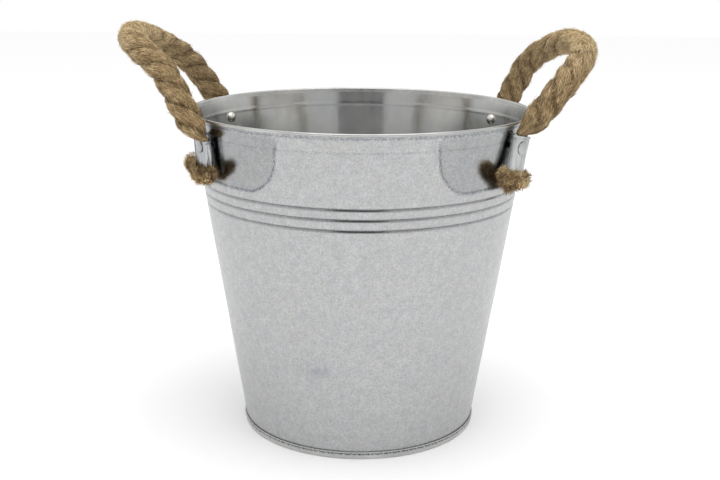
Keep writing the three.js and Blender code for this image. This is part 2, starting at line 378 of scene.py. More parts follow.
def jute_fibres():
    """Jute whose lightness is each fibre's own value, which also carries painted light at the crown and
    painted shade along the creases and in the frayed ends' cores.
    """
    material, tree, shader = new_material("jute_fibres")
    place = object_place(tree)
    drift = ramp(tree, noise(tree, place, 160, 3.0), 0.3, 0.7, -0.22, 0.22)
    tone = maths(tree, "ADD", value_of(tree, "tone"), drift)
    low = blended(tree, ramp(tree, tone, 0.0, 0.5), (0.095, 0.050, 0.018, 1), (0.37, 0.245, 0.108, 1))
    colour = blended(tree, ramp(tree, tone, 0.5, 1.0), low, (0.80, 0.635, 0.37, 1))
    tree.links.new(colour, shader.inputs["Base Color"])
    dry_surface(tree, shader, noise(tree, place, 1800, 2.0), 0.1 * MM)
    return material


def inner_steel():
    """Steel whose reflections smear up and down the wall."""
    material = bright_steel("bright_inside", 0.15, 0.22, (0.42, 0.43, 0.43, 1), (0.50, 0.50, 0.485, 1),
                            (1, 1, 0.25))
    shader = material.node_tree.nodes["Principled BSDF"]
    shader.inputs["Anisotropic"].default_value = 0.75
    shader.inputs["Anisotropic Rotation"].default_value = 0.25
    return material


OUTSIDE = galvanised()
INSIDE = inner_steel()
RIM_STEEL = bright_steel("rim_steel", 0.24, 0.36, (0.42, 0.425, 0.42, 1), (0.57, 0.57, 0.55, 1), (1, 1, 1))
SLEEVE_STEEL = bright_steel("sleeve_steel", 0.15, 0.28, (0.28, 0.29, 0.31, 1), (0.54, 0.545, 0.54, 1),
                            (1, 1, 0.12), 0.55)
RIVET_METAL = bright_steel("rivet_aluminium", 0.26, 0.38, (0.58, 0.55, 0.50, 1), (0.72, 0.69, 0.64, 1),
                           (1, 1, 1))
DISC_METAL = bright_steel("rivet_flat_head", 0.18, 0.30, (0.33, 0.335, 0.34, 1), (0.47, 0.47, 0.465, 1),
                          (1, 1, 1))
ROPE_JUTE = jute("jute_rope", (0.68, 0.53, 0.31, 1), (0.38, 0.268, 0.136, 1), (0.15, 0.094, 0.042, 1),
                 (0.055, 0.030, 0.012, 1))
FIBRE_JUTE = jute_fibres()


# Rope handles

STRANDS = 3
STRAND_OFFSET = 3.0 * MM
STRAND_RADIUS = ROPE_RADIUS - STRAND_OFFSET
YARNS = 24  # seen round the whole rope
YARN_HEIGHT = 0.2 * MM
YARN_DRIFT = math.radians(55) / ROPE_LAY
CREASE_DEPTH = 0.5 * MM  # between two strands, on top of their own roundness
CREASE_WIDTH = 1.1 * MM
HOLLOW_WIDTH = 2.6 * MM  # of the painted shade along a crease
WANDER_HEIGHT = 0.22 * MM
FELT_DROP = 0.2 * MM  # of a felted stretch below the rope's full radius
BRIDGE_DROP = 0.35 * MM  # of the loose fibres that bridge a crease
CURVE_SAMPLES = 60  # between two points of the route
RING_STEP = 0.75 * MM
ROPE_COLUMNS = 144
SLEEVE_TAIL = 1.5 * MM  # rope below the sleeve, inside the frayed end
PINCH_LENGTH = 12 * MM  # above the sleeve, on the side next to the wall
SWELL_START = -2.5 * MM  # the width and the outer side swell from here, just inside the sleeve
SWELL_LENGTH = 18 * MM  # to here, above it
PINCHED_DEPTH = 0.22  # inside the sleeve, as a share of the rope's own depth
PINCHED_WIDTH = 0.84
FELTED = 0.75  # how far the strands are felted over at the crown
FELT_REACH = 54 * MM
FIBRES = 9000  # short ones
CLUMPS = 500  # thicker ones
STRAYS = 14  # long ones
FIBRE_HEADING = math.radians(24)  # across the rope's own direction
FIBRE_SPREAD = math.radians(30)
FIBRE_LIFT = 0.38 * MM
FIBRE_LIFT_MOST = 2.4 * MM


def curve_through(points, samples):
    """A smooth curve through the points: the same one that the frame's rope follows."""
    points = np.asarray(points)
    before = np.vstack([2 * points[0] - points[1], points, 2 * points[-1] - points[-2]])
    tangents = (before[2:] - before[:-2]) / 2
    t = np.linspace(0, 1, samples, endpoint=False)[:, None]
    stretches = []
    for i in range(len(points) - 1):
        stretches.append(
            (2 * t**3 - 3 * t**2 + 1) * points[i] + (t**3 - 2 * t**2 + t) * tangents[i]
            + (3 * t**2 - 2 * t**3) * points[i + 1] + (t**3 - t**2) * tangents[i + 1]
        )
    return np.vstack(stretches + [points[-1:]])


def evenly(points, step):
    """Points a step apart along a line of points, and how far along it each one is."""
    run = np.concatenate([[0], np.cumsum(np.linalg.norm(np.diff(points, axis=0), axis=1))])
    reach = np.linspace(0, run[-1], int(run[-1] / step) + 1)
    return np.column_stack([np.interp(reach, run, points[:, i]) for i in range(3)]), reach


def unit(vectors):
    return vectors / np.linalg.norm(vectors, axis=-1, keepdims=True)


class Rope:
    """A rope's middle line with its frame, and the lumpy surface round it."""

    def __init__(self, handle):
        self.side, self.seed = handle["side"], handle["seed"]
        self.wedge = handle["outward"] * handle["wedge"]
        self.walls = [sleeve_frame(handle, along) for _, along in ENDS]
        half = SLEEVE_LENGTH / 2
        below = [(SLEEVE_STANDOFF, 0, -half - SLEEVE_TAIL), (SLEEVE_STANDOFF, 0, 0)]
        mouth = [(SLEEVE_STANDOFF, 0, half), (FLEX_STANDOFF, 0, FLEX_RISE)]
        front = placed(self.walls[0], below + mouth)
        back = placed(self.walls[1], below + mouth)[::-1]
        route = np.vstack([front, np.array(handle["crown"]) * MM, back])
        self.centres, self.reach = evenly(curve_through(route, CURVE_SAMPLES), RING_STEP)
        self.length = self.reach[-1]
        self.mouth, self.flex = front[2], front[3]
        self.tangents = unit(np.gradient(self.centres, axis=0))
        self.outs = self.carried(self.walls[0][1][:, 0], self.walls[1][1][:, 0])

    def carried(self, start, finish):
        """Carries a direction along the rope without twist, and then spreads out what is left over."""
        outs = [start]
        for tangent in self.tangents[1:]:
            outs.append(unit(outs[-1] - tangent * np.dot(outs[-1], tangent)))
        outs = np.array(outs)
        last = self.tangents[-1]
        over = math.atan2(np.dot(np.cross(outs[-1], finish), last), np.dot(outs[-1], finish))
        turn = (over * self.reach / self.length)[:, None]
        return outs * np.cos(turn) + np.cross(self.tangents, outs) * np.sin(turn)

    def at(self, values, reach):
        """Vectors that are known at every ring, taken at any reach."""
        return np.stack([np.interp(reach, self.reach, values[:, i]) for i in range(3)], axis=-1)

    def height(self, phi, reach):
        """The distance of the surface from the middle line, before it is pinched."""
        across = (phi % (TURN / STRANDS)) - TURN / STRANDS / 2
        beside = STRAND_OFFSET * np.sin(across)
        body = STRAND_OFFSET * np.cos(across) + np.sqrt(STRAND_RADIUS**2 - beside**2)
        gap = (np.abs(across) - TURN / STRANDS / 2) * ROPE_RADIUS
        crease = CREASE_DEPTH * bell(gap, CREASE_WIDTH)
        felt = FELTED * self.crown(reach)
        body = body - crease + (ROPE_RADIUS - FELT_DROP - body + crease) * felt
        wander = 0.30 * ripple(self.seed, phi, reach / MM, [3, 6, 9, 4], [0.21, 0.34, 0.16, 0.55])
        yarn = np.abs(np.sin((phi + YARN_DRIFT * reach + 0.12 * wander) * YARNS / 2))
        depth = 0.75 + 0.35 * ripple(self.seed + 1, phi, reach / MM, [5, 8, 13], [0.3, 0.2, 0.42])
        return body - YARN_HEIGHT * depth * (1 - yarn) + WANDER_HEIGHT * wander

    def crease_shade(self, phi, reach):
        """How much painted shade darkens the rope between its strands, from 0 to 1."""
        across = (phi % (TURN / STRANDS)) - TURN / STRANDS / 2
        gap = (TURN / STRANDS / 2 - np.abs(across)) * ROPE_RADIUS
        patchy = 0.55 + 0.5 * ripple(self.seed + 2, phi, reach / MM, [3, 7, 11], [0.33, 0.62, 0.9])
        return (bell(gap, HOLLOW_WIDTH) * patchy).clip(0, 1) * (1 - 0.7 * self.crown(reach))

    def crown(self, reach):
        """1 at the middle of the loop, and 0 towards its ends."""
        return bell(reach - self.length / 2, FELT_REACH)

    def surface(self, phi, reach, lift=0.0, bridge=0.0):
        """Points on the surface, or lifted off it.

        phi follows the strands, and reach runs along the rope. bridge is how far the points pass over the
        creases instead of following them.
        """
        theta = phi - TURN * reach / ROPE_LAY
        radius = self.height(phi, reach) * (1 - bridge) + (ROPE_RADIUS - BRIDGE_DROP) * bridge + lift
        from_end = np.minimum(reach, self.length - reach) - SLEEVE_TAIL - SLEEVE_LENGTH
        near_wall = smooth_step(-1 * MM, PINCH_LENGTH, from_end)
        swollen = smooth_step(SWELL_START, SWELL_LENGTH, from_end)
        outer_side = smooth_step(-0.5, 0.5, np.cos(theta))
        deep = PINCHED_DEPTH + (1 - PINCHED_DEPTH) * (near_wall + (swollen - near_wall) * outer_side)
        wide = PINCHED_WIDTH + (1 - PINCHED_WIDTH) * swollen
        centre, tangent, out = (self.at(v, reach) for v in (self.centres, self.tangents, self.outs))
        side = np.cross(tangent, out)
        x, y = radius * np.cos(theta) * deep, radius * np.sin(theta) * wide
        x = x + self.wedge * y * ((x / SLEEVE_HALF_DEPTH + 1) / 2).clip(0, 1) * (1 - swollen)
        return centre + x[..., None] * out + y[..., None] * side

    def twisted(self):
        """The three-strand body of the rope, with both ends closed."""
        phi = np.arange(ROPE_COLUMNS) * TURN / ROPE_COLUMNS
        phi_grid, reach_grid = np.meshgrid(phi, self.reach)
        points = self.surface(phi_grid, reach_grid).reshape(-1, 3)
        rings = len(self.reach)
        faces = grid_quads(rings, ROPE_COLUMNS).tolist()
        first, last = len(points), len(points) + 1
        points = np.vstack([points, self.centres[0], self.centres[-1]])
        end_row = (rings - 1) * ROPE_COLUMNS
        for i in range(ROPE_COLUMNS):
            j = (i + 1) % ROPE_COLUMNS
            faces.append([first, j, i])
            faces.append([last, end_row + i, end_row + j])
        piece = make_piece(f"{self.side}_rope", points, faces, ROPE_JUTE, "jute_rope")
        # Painted shade along the creases and painted light towards the crown, which the rope's material
        # reads.
        add_values(piece, "crease_shade", np.append(self.crease_shade(phi_grid, reach_grid).ravel(), [0, 0]))
        add_values(piece, "crown", np.append(self.crown(reach_grid).ravel(), [0, 0]))
        self.map_strands(piece, rings)
        return piece

    def map_strands(self, piece, rings):
        """A map whose first axis crosses the strands and whose second runs along them."""
        row, column = np.divmod(np.arange(rings * ROPE_COLUMNS), ROPE_COLUMNS)
        corners = np.empty(len(piece.data.loops), dtype=np.int32)
        piece.data.loops.foreach_get("vertex_index", corners)
        quads = (rings - 1) * ROPE_COLUMNS * 4
        uv = np.zeros((len(corners), 2))
        inside = corners[:quads].reshape(-1, 4)
        across, along = column[inside], row[inside]
        across = np.where(across < across[:, :1], across + ROPE_COLUMNS, across)
        uv[:quads, 0] = (across * TURN / ROPE_COLUMNS * ROPE_RADIUS).ravel()
        uv[:quads, 1] = (along * RING_STEP).ravel()
        layer = piece.data.uv_layers.new(name="strand")
        layer.data.foreach_set("uv", uv.astype(np.float32).ravel())

    def fuzz(self, count, longest, thickest, seed):
        """Loose fibres that lie along the rope, with their tips off the surface."""
        random = np.random.default_rng(seed)
        low = SLEEVE_LENGTH + SLEEVE_TAIL + 2 * MM
        high = self.length - low
        start = random.uniform(low, high, count)
        phi = random.uniform(0, TURN, count)
        length = random.uniform(0.3, 1, count) * longest
        heading = random.normal(FIBRE_HEADING, FIBRE_SPREAD, count)
        lift = random.gamma(1.5, FIBRE_LIFT, count).clip(0, FIBRE_LIFT_MOST)
        t = np.linspace(0, 1, 6)
        reach = (start[:, None] + (length * np.cos(heading))[:, None] * t).clip(low, high)
        drift = length * (TURN / ROPE_LAY * np.cos(heading) - np.sin(heading) / ROPE_RADIUS)
        bow = random.normal(0, 0.08, count)[:, None] * np.sin(math.pi * t)
        rise = 0.02 * MM + lift[:, None] * t ** 1.4
        bridge = (0.12 + 0.45 * self.crown(start))[:, None]
        lines = self.surface(phi[:, None] + drift[:, None] * t + bow, reach, rise, bridge)
        thick = random.uniform(0.5, 1, count) * thickest
        tone = random.beta(0.8, 0.8, count) * 0.95
        # Painted light makes fibres paler towards the crown, and painted shade makes them darker along the
        # creases.
        tone = tone + 0.36 * self.crown(start) - 0.35 * self.crease_shade(phi, start)
        return lines, thick, tone


def hairs(lines, thick, sides=3, tip=0.25):
    """Tapered tubes along many short lines at once."""
    count, steps, _ = lines.shape
    tangents = unit(np.gradient(lines, axis=1) + 1e-12)
    helper = np.where(np.abs(tangents[..., 2:]) < 0.9, [0.0, 0.0, 1.0], [1.0, 0.0, 0.0])
    across = unit(np.cross(tangents, helper))
    other = np.cross(tangents, across)
    taper = 1 - (1 - tip) * np.linspace(0, 1, steps) ** 2
    radius = thick[:, None] * taper
    points = []
    for k in range(sides):
        angle = TURN * k / sides
        points.append(lines + radius[..., None] * (across * math.cos(angle) + other * math.sin(angle)))
    points = np.stack(points, axis=2).reshape(-1, 3)
    quads = grid_quads(steps, sides)
    first = (np.arange(count) * steps * sides)[:, None, None]
    faces = (quads[None] + first).reshape(-1, 4).tolist()
    near = np.arange(sides)[::-1]
    far = (steps - 1) * sides + np.arange(sides)
    for i in range(count):
        faces.append((near + i * steps * sides).tolist())
        faces.append((far + i * steps * sides).tolist())
    return points, faces


BLEND_ABOVE_FLEX = 8 * MM  # how far above the flex point the loop below puts its end point, which nothing uses

ropes = {}
for handle in HANDLES:
    rope = Rope(handle)
    side = rope.side
    ropes[side] = rope
    body = rope.twisted()
    short = rope.fuzz(FIBRES, longest=7.5 * MM, thickest=0.17 * MM, seed=rope.seed + 5)
    clumps = rope.fuzz(CLUMPS, longest=8 * MM, thickest=0.30 * MM, seed=rope.seed + 7)
    strays = rope.fuzz(STRAYS, longest=26 * MM, thickest=0.18 * MM, seed=rope.seed + 6)
    lines, thick, tone = (np.concatenate(parts) for parts in zip(short, clumps, strays))
    tone[-STRAYS:] = 1
    loose = make_piece(f"{side}_rope_fibres", *hairs(lines, thick), FIBRE_JUTE, "jute_rope")
    add_values(loose, "tone", np.repeat(tone, 3 * lines.shape[1]))
    end = (rope.mouth[0], 0, rope.flex[2] + BLEND_ABOVE_FLEX)
    for piece in (body, loose):
        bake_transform(piece)
    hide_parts(f"{side}_rope_loop", f"{side}_front_gripped_rope", f"{side}_back_gripped_rope")


# Bucket wall

WALL_COLUMNS = 600
BEAD_STEPS = 22
PANEL_DEPTH = 0.5 * MM
PANEL_TOP = 226.5 * MM
PANEL_HALF_ANGLES = {1: math.radians(66.0), -1: math.radians(63.6)}
PANEL_SLANT = 0.16  # how far each side edge comes in, for each metre down it
PANEL_CORNER = 21 * MM
PANEL_TOP_CORNER = 5 * MM
PANEL_FLOOR = 188.3 * MM
PANEL_EDGE = 1.6 * MM
INNER_PANEL_DEPTH = 0.15 * MM  # the same panel, as it shows on the inner face
INNER_PANEL_EDGE = 10 * MM
ROLLER_HEIGHT = 218.5 * MM
ROLLER_DEPTH = 0.14 * MM
ROLLER_WIDTH = 0.8 * MM
WAVE_HEIGHT = 0.10 * MM
TOP_LINE = 3.0 * MM  # the dark line below the rim, painted shadow under the rolled bead
STAIN_AZIMUTH = math.radians(253)
STAIN_HEIGHT = 67 * MM
STAIN_HALF_WIDTH = 9 * MM
STAIN_HALF_HEIGHT = 4.5 * MM
CONE_TOP = 228 * MM  # the plain sheet ends here, just below the rolled rim
FINE_ROWS_FROM = 183.5 * MM


def panel_distance(azimuth, height, outward):
    """How far outside the pressed panel's outline a point is, in metres. It is negative inside."""
    from_middle = np.abs((azimuth - (0 if outward > 0 else math.pi) + math.pi) % TURN - math.pi)
    across = from_middle * wall_radius(height)
    half_width = PANEL_HALF_ANGLES[outward] * wall_radius(height) - PANEL_SLANT * (PANEL_TOP - height)
    middle, half_height = (PANEL_TOP + PANEL_FLOOR) / 2, (PANEL_TOP - PANEL_FLOOR) / 2
    above = height - middle
    corner = np.where(above > 0, PANEL_TOP_CORNER, PANEL_CORNER)
    x = across - half_width + corner
    z = np.abs(above) - half_height + corner
    return np.hypot(np.maximum(x, 0), np.maximum(z, 0)) + np.minimum(np.maximum(x, z), 0) - corner


def nearest_panel(azimuth, height):
    return np.minimum(panel_distance(azimuth, height, 1), panel_distance(azimuth, height, -1))


def wall_relief(azimuth, height, panel_depth, softness):
    """How far the sheet stands out from the plain cone. The pressed panel's edge is twice softness wide."""
    relief = 0
    for ring in RING_HEIGHTS:
        relief = relief - RING_DEPTH * bell(height - ring, RING_WIDTH)
    relief = relief - ROLLER_DEPTH * bell(height - ROLLER_HEIGHT, ROLLER_WIDTH)
    relief = relief - panel_depth * smooth_step(softness, -softness, nearest_panel(azimuth, height))
    calm = smooth_step(CONE_TOP, 214 * MM, height) * smooth_step(2 * MM, 20 * MM, height)
    waves = ripple(5, azimuth, height / MM, [3, 5, 8, 13, 21], [0.03, 0.05, 0.04, 0.08, 0.11])
    return relief + WAVE_HEIGHT * waves * calm


def wall_levels(coarse):
    """Heights of the rows of points up the wall, closer together at the rings and the panels."""
    levels = [np.arange(WALL_FOOT, CONE_TOP, coarse)]
    for ring in RING_HEIGHTS:
        levels.append(ring + np.linspace(-2.8, 2.8, 15) * MM)
    levels.append(np.arange(FINE_ROWS_FROM, CONE_TOP, 1.0 * MM))
    levels = np.sort(np.concatenate(levels))
    kept = [levels[0]]
    for level in levels[1:]:
        if level - kept[-1] > 0.33 * MM:
            kept.append(level)
    return np.array(kept)


def rim_bead():
    """The rolled rim's section as (radius, height), from the outer face over to the inner one."""
    height = HEIGHT - BEAD_RADIUS
    radius = wall_radius(height) + BEAD_STANDOFF
    down = -math.pi / 2 - SLOPE
    start = down - math.asin(BEAD_STANDOFF / BEAD_RADIUS)
    finish = TURN + down - math.asin((BEAD_STANDOFF + SHEET) / BEAD_RADIUS)
    angle = np.linspace(start, finish, BEAD_STEPS)
    return np.column_stack([radius + BEAD_RADIUS * np.cos(angle), height + BEAD_RADIUS * np.sin(angle)])


def make_wall():
    """The wall up its outer face, over the rolled rim and down its inner face."""
    azimuth = np.arange(WALL_COLUMNS) * TURN / WALL_COLUMNS
    rows, bright, heights = [], [], []

    def add_row(radius, height, inside):
        rows.append(np.column_stack([radius * np.cos(azimuth), radius * np.sin(azimuth),
                                     np.broadcast_to(height, azimuth.shape)]))
        bright.append(inside)
        heights.append(np.full(WALL_COLUMNS, np.mean(height)))

    for level in wall_levels(3 * MM):
        relief = wall_relief(azimuth, np.full(WALL_COLUMNS, level), PANEL_DEPTH, PANEL_EDGE)
        add_row(wall_radius(level) + relief * math.cos(SLOPE), level - relief * math.sin(SLOPE), 0)
    for radius, height in rim_bead():
        add_row(np.full(WALL_COLUMNS, radius), height, 2)
    for level in wall_levels(4 * MM)[::-1]:
        relief = wall_relief(azimuth, np.full(WALL_COLUMNS, level), INNER_PANEL_DEPTH, INNER_PANEL_EDGE)
        relief = relief - SHEET
        add_row(wall_radius(level) + relief * math.cos(SLOPE), level - relief * math.sin(SLOPE), 1)

    faces = grid_quads(len(rows), WALL_COLUMNS, closed_rows=True)
    wall = make_piece("bucket_shell", np.vstack(rows), faces, OUTSIDE, "galvanised_sheet", "bucket",
                      ["bucket_wall"])
    wall.data.materials.append(INSIDE)
    wall.data.materials.append(RIM_STEEL)
    index = np.repeat(bright, WALL_COLUMNS)
    index[-WALL_COLUMNS:] = 0
    wall.data.polygons.foreach_set("material_index", index.astype(np.int32))
    heights = np.concatenate(heights)
    around = np.tile(azimuth, len(rows))
    distance = nearest_panel(around, heights)
    rings = sum(bell(heights - ring, 0.7 * MM) for ring in RING_HEIGHTS)
    # The ring grooves share the panel value: they are glossier, and dimmed with painted shade.
    add_values(wall, "panel", np.maximum(smooth_step(0.5 * MM, -2 * MM, distance), 1.5 * rings))
    # Painted shade: dark lines along the panels' edges, in the ring and roller grooves and just below the
    # rim bead.
    below_top = smooth_step(227 * MM, 217 * MM, heights).clip(0.35, 1)
    shade_lines = bell(distance, 0.9 * MM) * below_top + 0.12 * rings
    shade_lines = shade_lines + 0.25 * bell(heights - ROLLER_HEIGHT, 0.6 * MM)
    add_values(wall, "border", shade_lines + 0.9 * bell(heights - HEIGHT + TOP_LINE, 0.8 * MM))
    wall.data.set_sharp_from_angle(angle=math.radians(40))
    stain_across = bell((around - STAIN_AZIMUTH) * FOOT_RADIUS, STAIN_HALF_WIDTH)
    add_values(wall, "stain", stain_across * bell(heights - STAIN_HEIGHT, STAIN_HALF_HEIGHT))


make_wall()


# Bottom plate and its crimped hem

HEM_COLUMNS = 1080
HEM_CRIMP = 0.24 * MM  # in and out
HEM_EDGE_WAVE = 0.12 * MM  # up and down
HEM_SEAM = 3.9 * MM  # the groove round the hem, darkened with painted shade
HEM_SEAM_WIDTH = 0.55 * MM
HEM_EDGE_WIDTH = 0.4 * MM


def make_bottom():
    """The recessed bottom, whose flange turns down, and then up round the wall's foot as a crimped hem."""
    inside_leg = lambda height: wall_radius(height) - SHEET - 2 * GAP
    outside_leg = lambda height: wall_radius(height) + GAP + HEM_SHEET
    profile = [(inside_leg(RECESS) * share, RECESS) for share in (0, 0.5, 0.97)]
    profile += [(inside_leg(RECESS) - SHEET - 0.5 * MM, RECESS),
                (inside_leg(RECESS) - SHEET, RECESS - 0.5 * MM),
                (inside_leg(0) - SHEET, 0.5 * MM), (inside_leg(0) - SHEET + 0.4 * MM, 0.0)]
    profile.append((outside_leg(0) - 0.5 * MM, 0.0))
    # Height up the hem, and how far it stands in from the leg's outer face, in millimetres.
    face = [(0.15, 0.12), (0.5, 0), (1.3, 0), (2.2, 0), (2.8, -0.05), (3.15, -0.16), (3.4, -0.05),
            (3.65, 0.25), (3.9, 0.42), (4.15, 0.35), (4.4, 0.12), (4.7, 0.02), (5.0, 0.08),
            (5.25, 0.22), (5.42, 0.45), (5.5, 0.72)]
    first_crimped = len(profile) + 6  # the rows of the face below it stay plain
    for height, inset in face:
        profile.append((outside_leg(height * MM) - inset * MM, height * MM))
    last_crimped = len(profile)
    profile += [(wall_radius(HEM_HEIGHT) + 0.02 * MM, HEM_HEIGHT - 0.25 * MM),
                (wall_radius(HEM_HEIGHT) + 0.05 * MM, HEM_HEIGHT - 1 * MM),
                (wall_radius(0.9 * MM) + GAP, 0.9 * MM), (inside_leg(0.9 * MM), 0.9 * MM),
                (inside_leg(RECESS + SHEET), RECESS + SHEET - 0.3 * MM),
                (inside_leg(RECESS + SHEET) - 0.4 * MM, RECESS + SHEET)]
    profile += [(inside_leg(RECESS) * share, RECESS + SHEET) for share in (0.97, 0.75, 0.5, 0.25, 0)]
    points, faces = turned(profile, HEM_COLUMNS)
    angle = np.arange(HEM_COLUMNS) * TURN / HEM_COLUMNS
    for row in range(first_crimped, last_crimped):
        height = profile[row][1] / MM
        crimp = ripple(31, angle, height, [163, 211, 127, 263, 97], [0.9, 0.7, 1.1, 0.5, 0.8])
        pinch = HEM_CRIMP * smooth_step(2.9, 3.8, height) * crimp
        ring = slice((row - 1) * HEM_COLUMNS, row * HEM_COLUMNS)
        points[ring, 0] += pinch * np.cos(angle)
        points[ring, 1] += pinch * np.sin(angle)
        wave = ripple(37, angle, height, [143, 231, 89], [0.2, 0.1, 0.3])
        points[ring, 2] += HEM_EDGE_WAVE * smooth_step(4.2, 5.3, height) * wave
    base = make_piece("base_and_hem", points, faces, HEM_STEEL, "galvanised_sheet", "bucket",
                      ["bottom_plate"])
    # Painted shade in the crimped groove and along the hem's top edge, where it meets the wall.
    spots = np.arctan2(points[:, 1], points[:, 0])
    flecks = ripple(41, spots, points[:, 2] / MM, [173, 119, 251, 83], [0.5, 0.9, 0.3, 0.7])
    seam = bell(points[:, 2] - HEM_SEAM, HEM_SEAM_WIDTH) * (0.75 + 0.5 * flecks)
    edge = bell(points[:, 2] - HEM_HEIGHT, HEM_EDGE_WIDTH)
    add_values(base, "border", (seam + 0.5 * edge).clip(0, 1))


def crimped_steel():
    """Steel with painted shade along the hem's groove and its upper edge."""
    material = bright_steel("hem_steel", 0.24, 0.36, (0.46, 0.465, 0.46, 1), (0.56, 0.56, 0.55, 1),
                            (1, 1, 1))
    tree = material.node_tree
    shader = tree.nodes["Principled BSDF"]
    steel = shader.inputs["Base Color"].links[0].from_socket
    darkened = blended(tree, value_of(tree, "border"), steel, (0.07, 0.075, 0.08, 1))
    tree.links.new(darkened, shader.inputs["Base Color"])
    return material


HEM_STEEL = crimped_steel()
make_bottom()


# Sleeves, rivets and frayed ends

SLEEVE_SHEET = 0.6 * MM
SLEEVE_STEPS = 110
SLEEVE_SQUARENESS = 6.0
FOLD_ANGLE = math.radians(45)
FOLD_WIDTH = math.radians(5)
LAP_EDGE = math.radians(-48)
LAP_TURN = math.radians(130)
LAP_RISE = math.radians(50)
LAP_LIFT = 0.65 * MM
HEM_BAND = 1.9 * MM  # the folded band round a sleeve's top
SLEEVE_DENT = 0.45 * MM  # round the rivet
SLEEVE_DENT_WIDTH = 5.2 * MM
SLEEVE_WAVE = 0.12 * MM
SLEEVE_FOLD = 0.28 * MM


def wedged(x, y, wedge):
    """Thickens a sleeve's section towards one side. x is measured from the sleeve's own axis."""
    return x + wedge * y * (x / SLEEVE_HALF_DEPTH + 1) / 2


def rounded(angle, half_depth, half_width):
    """Points on a rounded oblong."""
    x, y = np.cos(angle), np.sin(angle)
    swell = (np.abs(x) ** SLEEVE_SQUARENESS + np.abs(y) ** SLEEVE_SQUARENESS) ** (-1 / SLEEVE_SQUARENESS)
    return np.stack([half_depth * x * swell, half_width * y * swell], axis=-1)


def make_sleeve(name, wall, wedge, to_rivet, seed):
    """A strip wrapped once round the rope, with its outer end lapped over its start."""
    finish = LAP_EDGE
    start = finish - TURN - LAP_TURN
    angle = np.linspace(start, finish, SLEEVE_STEPS)
    lift = LAP_LIFT * smooth_step(finish - LAP_TURN - LAP_RISE, finish - LAP_TURN, angle)
    middle = rounded(angle, SLEEVE_HALF_DEPTH - SLEEVE_SHEET / 2, SLEEVE_HALF_WIDTH - SLEEVE_SHEET / 2)
    along = unit(np.gradient(middle, axis=0))
    normal = np.column_stack([along[:, 1], -along[:, 0]])
    middle = middle + normal * lift[:, None]
    half = SLEEVE_LENGTH / 2
    thin = SLEEVE_SHEET / 2
    # Standoff from the middle of the sheet and height, up the outer face and down the inner one.
    outer = [(-half + 0.1 * MM, thin * 0.7), (-half + 0.5 * MM, thin)]
    outer += [(level, thin) for level in np.linspace(-half + 2 * MM, half - HEM_BAND - 0.6 * MM, 14)]
    top = half - HEM_BAND
    outer += [(top - 0.35 * MM, thin - 0.05 * MM), (top, thin - 0.40 * MM),
              (top + 0.16 * MM, thin + 0.10 * MM), (top + 0.4 * MM, thin + 0.34 * MM),
              (top + 1.1 * MM, thin + 0.38 * MM),
              (half - 0.35 * MM, thin + 0.28 * MM), (half - 0.08 * MM, thin * 0.5)]
    inner = [(half, -thin * 0.2), (half - 0.1 * MM, -thin * 0.8), (half - 1 * MM, -thin), (0, -thin),
             (-half + 0.5 * MM, -thin), (-half + 0.08 * MM, -thin * 0.7)]
    profile = np.array(outer + inner)
    level, stand = profile[:, 0], profile[:, 1]
    dent_width = rounded(angle, SLEEVE_HALF_DEPTH, SLEEVE_HALF_WIDTH)[:, 1]
    dent = bell(np.hypot(dent_width[:, None], level[None, :] - to_rivet), SLEEVE_DENT_WIDTH)
    dent = SLEEVE_DENT * dent * (middle[:, :1] > 0)
    waves = ripple(seed, angle[:, None], level[None, :] / MM, [2, 3, 5], [0.15, 0.3, 0.22])
    waves = SLEEVE_WAVE * waves * np.cos(level / half * math.pi / 2)[None, :]
    fold = SLEEVE_FOLD * bell((angle - FOLD_ANGLE + math.pi) % TURN - math.pi, FOLD_WIDTH)
    reach = stand[None, :] + waves - dent - fold[:, None]
    y = middle[:, 1:] + normal[:, 1:] * reach
    x = SLEEVE_STANDOFF + wedged(middle[:, :1] + normal[:, :1] * reach, y, wedge)
    z = np.broadcast_to(level, x.shape)
    points = np.stack([x, y, z], axis=-1).reshape(-1, 3)
    columns = len(profile)
    faces = grid_quads(SLEEVE_STEPS, columns)[:, ::-1].tolist()
    faces.append(list(range(columns)))
    faces.append([(SLEEVE_STEPS - 1) * columns + i for i in range(columns)][::-1])
    make_piece(f"{name}_sleeve_strip", placed(wall, points), faces, SLEEVE_STEEL, "sleeve_sheet",
               "bucket", [f"{name}_sleeve"])


def make_rivet(name, wall, wedge, lift):
    """A rivet with its dome inside the bucket and its flat head on the sleeve."""
    disc = SLEEVE_STANDOFF + SLEEVE_HALF_DEPTH - 0.25 * MM
    dome_base = -SHEET - 0.1 * MM
    profile = [(4.0 * math.sin(a) * MM, dome_base - 3.0 * math.cos(a) * MM)
               for a in np.linspace(0, math.pi / 2, 12)]
    profile += [(3.6 * MM, dome_base + 0.05 * MM), (2.0 * MM, dome_base + 0.1 * MM),
                (2.0 * MM, disc - 0.05 * MM), (4.1 * MM, disc), (4.4 * MM, disc + 0.15 * MM),
                (4.5 * MM, disc + 0.4 * MM),
                (4.35 * MM, disc + 0.66 * MM), (4.0 * MM, disc + 0.8 * MM), (3.2 * MM, disc + 0.92 * MM),
                (2.0 * MM, disc + 1.0 * MM), (1.0 * MM, disc + 1.02 * MM), (0, disc + 1.03 * MM)]
    points, faces = turned(profile, 56)
    points = np.column_stack([points[:, 2], points[:, 0], points[:, 1] + lift])
    flat_head = points[:, 0] > disc - 0.2 * MM
    points[:, 0] += wedge * points[:, 1] * smooth_step(0, disc - 0.1 * MM, points[:, 0])
    rivet = make_piece(f"{name}_rivet_body", placed(wall, points), faces, RIVET_METAL, "rivet_metal",
                       "bucket", [f"{name}_rivet"])
    rivet.data.materials.append(DISC_METAL)
    for polygon in rivet.data.polygons:
        polygon.material_index = int(flat_head[polygon.vertices[0]])


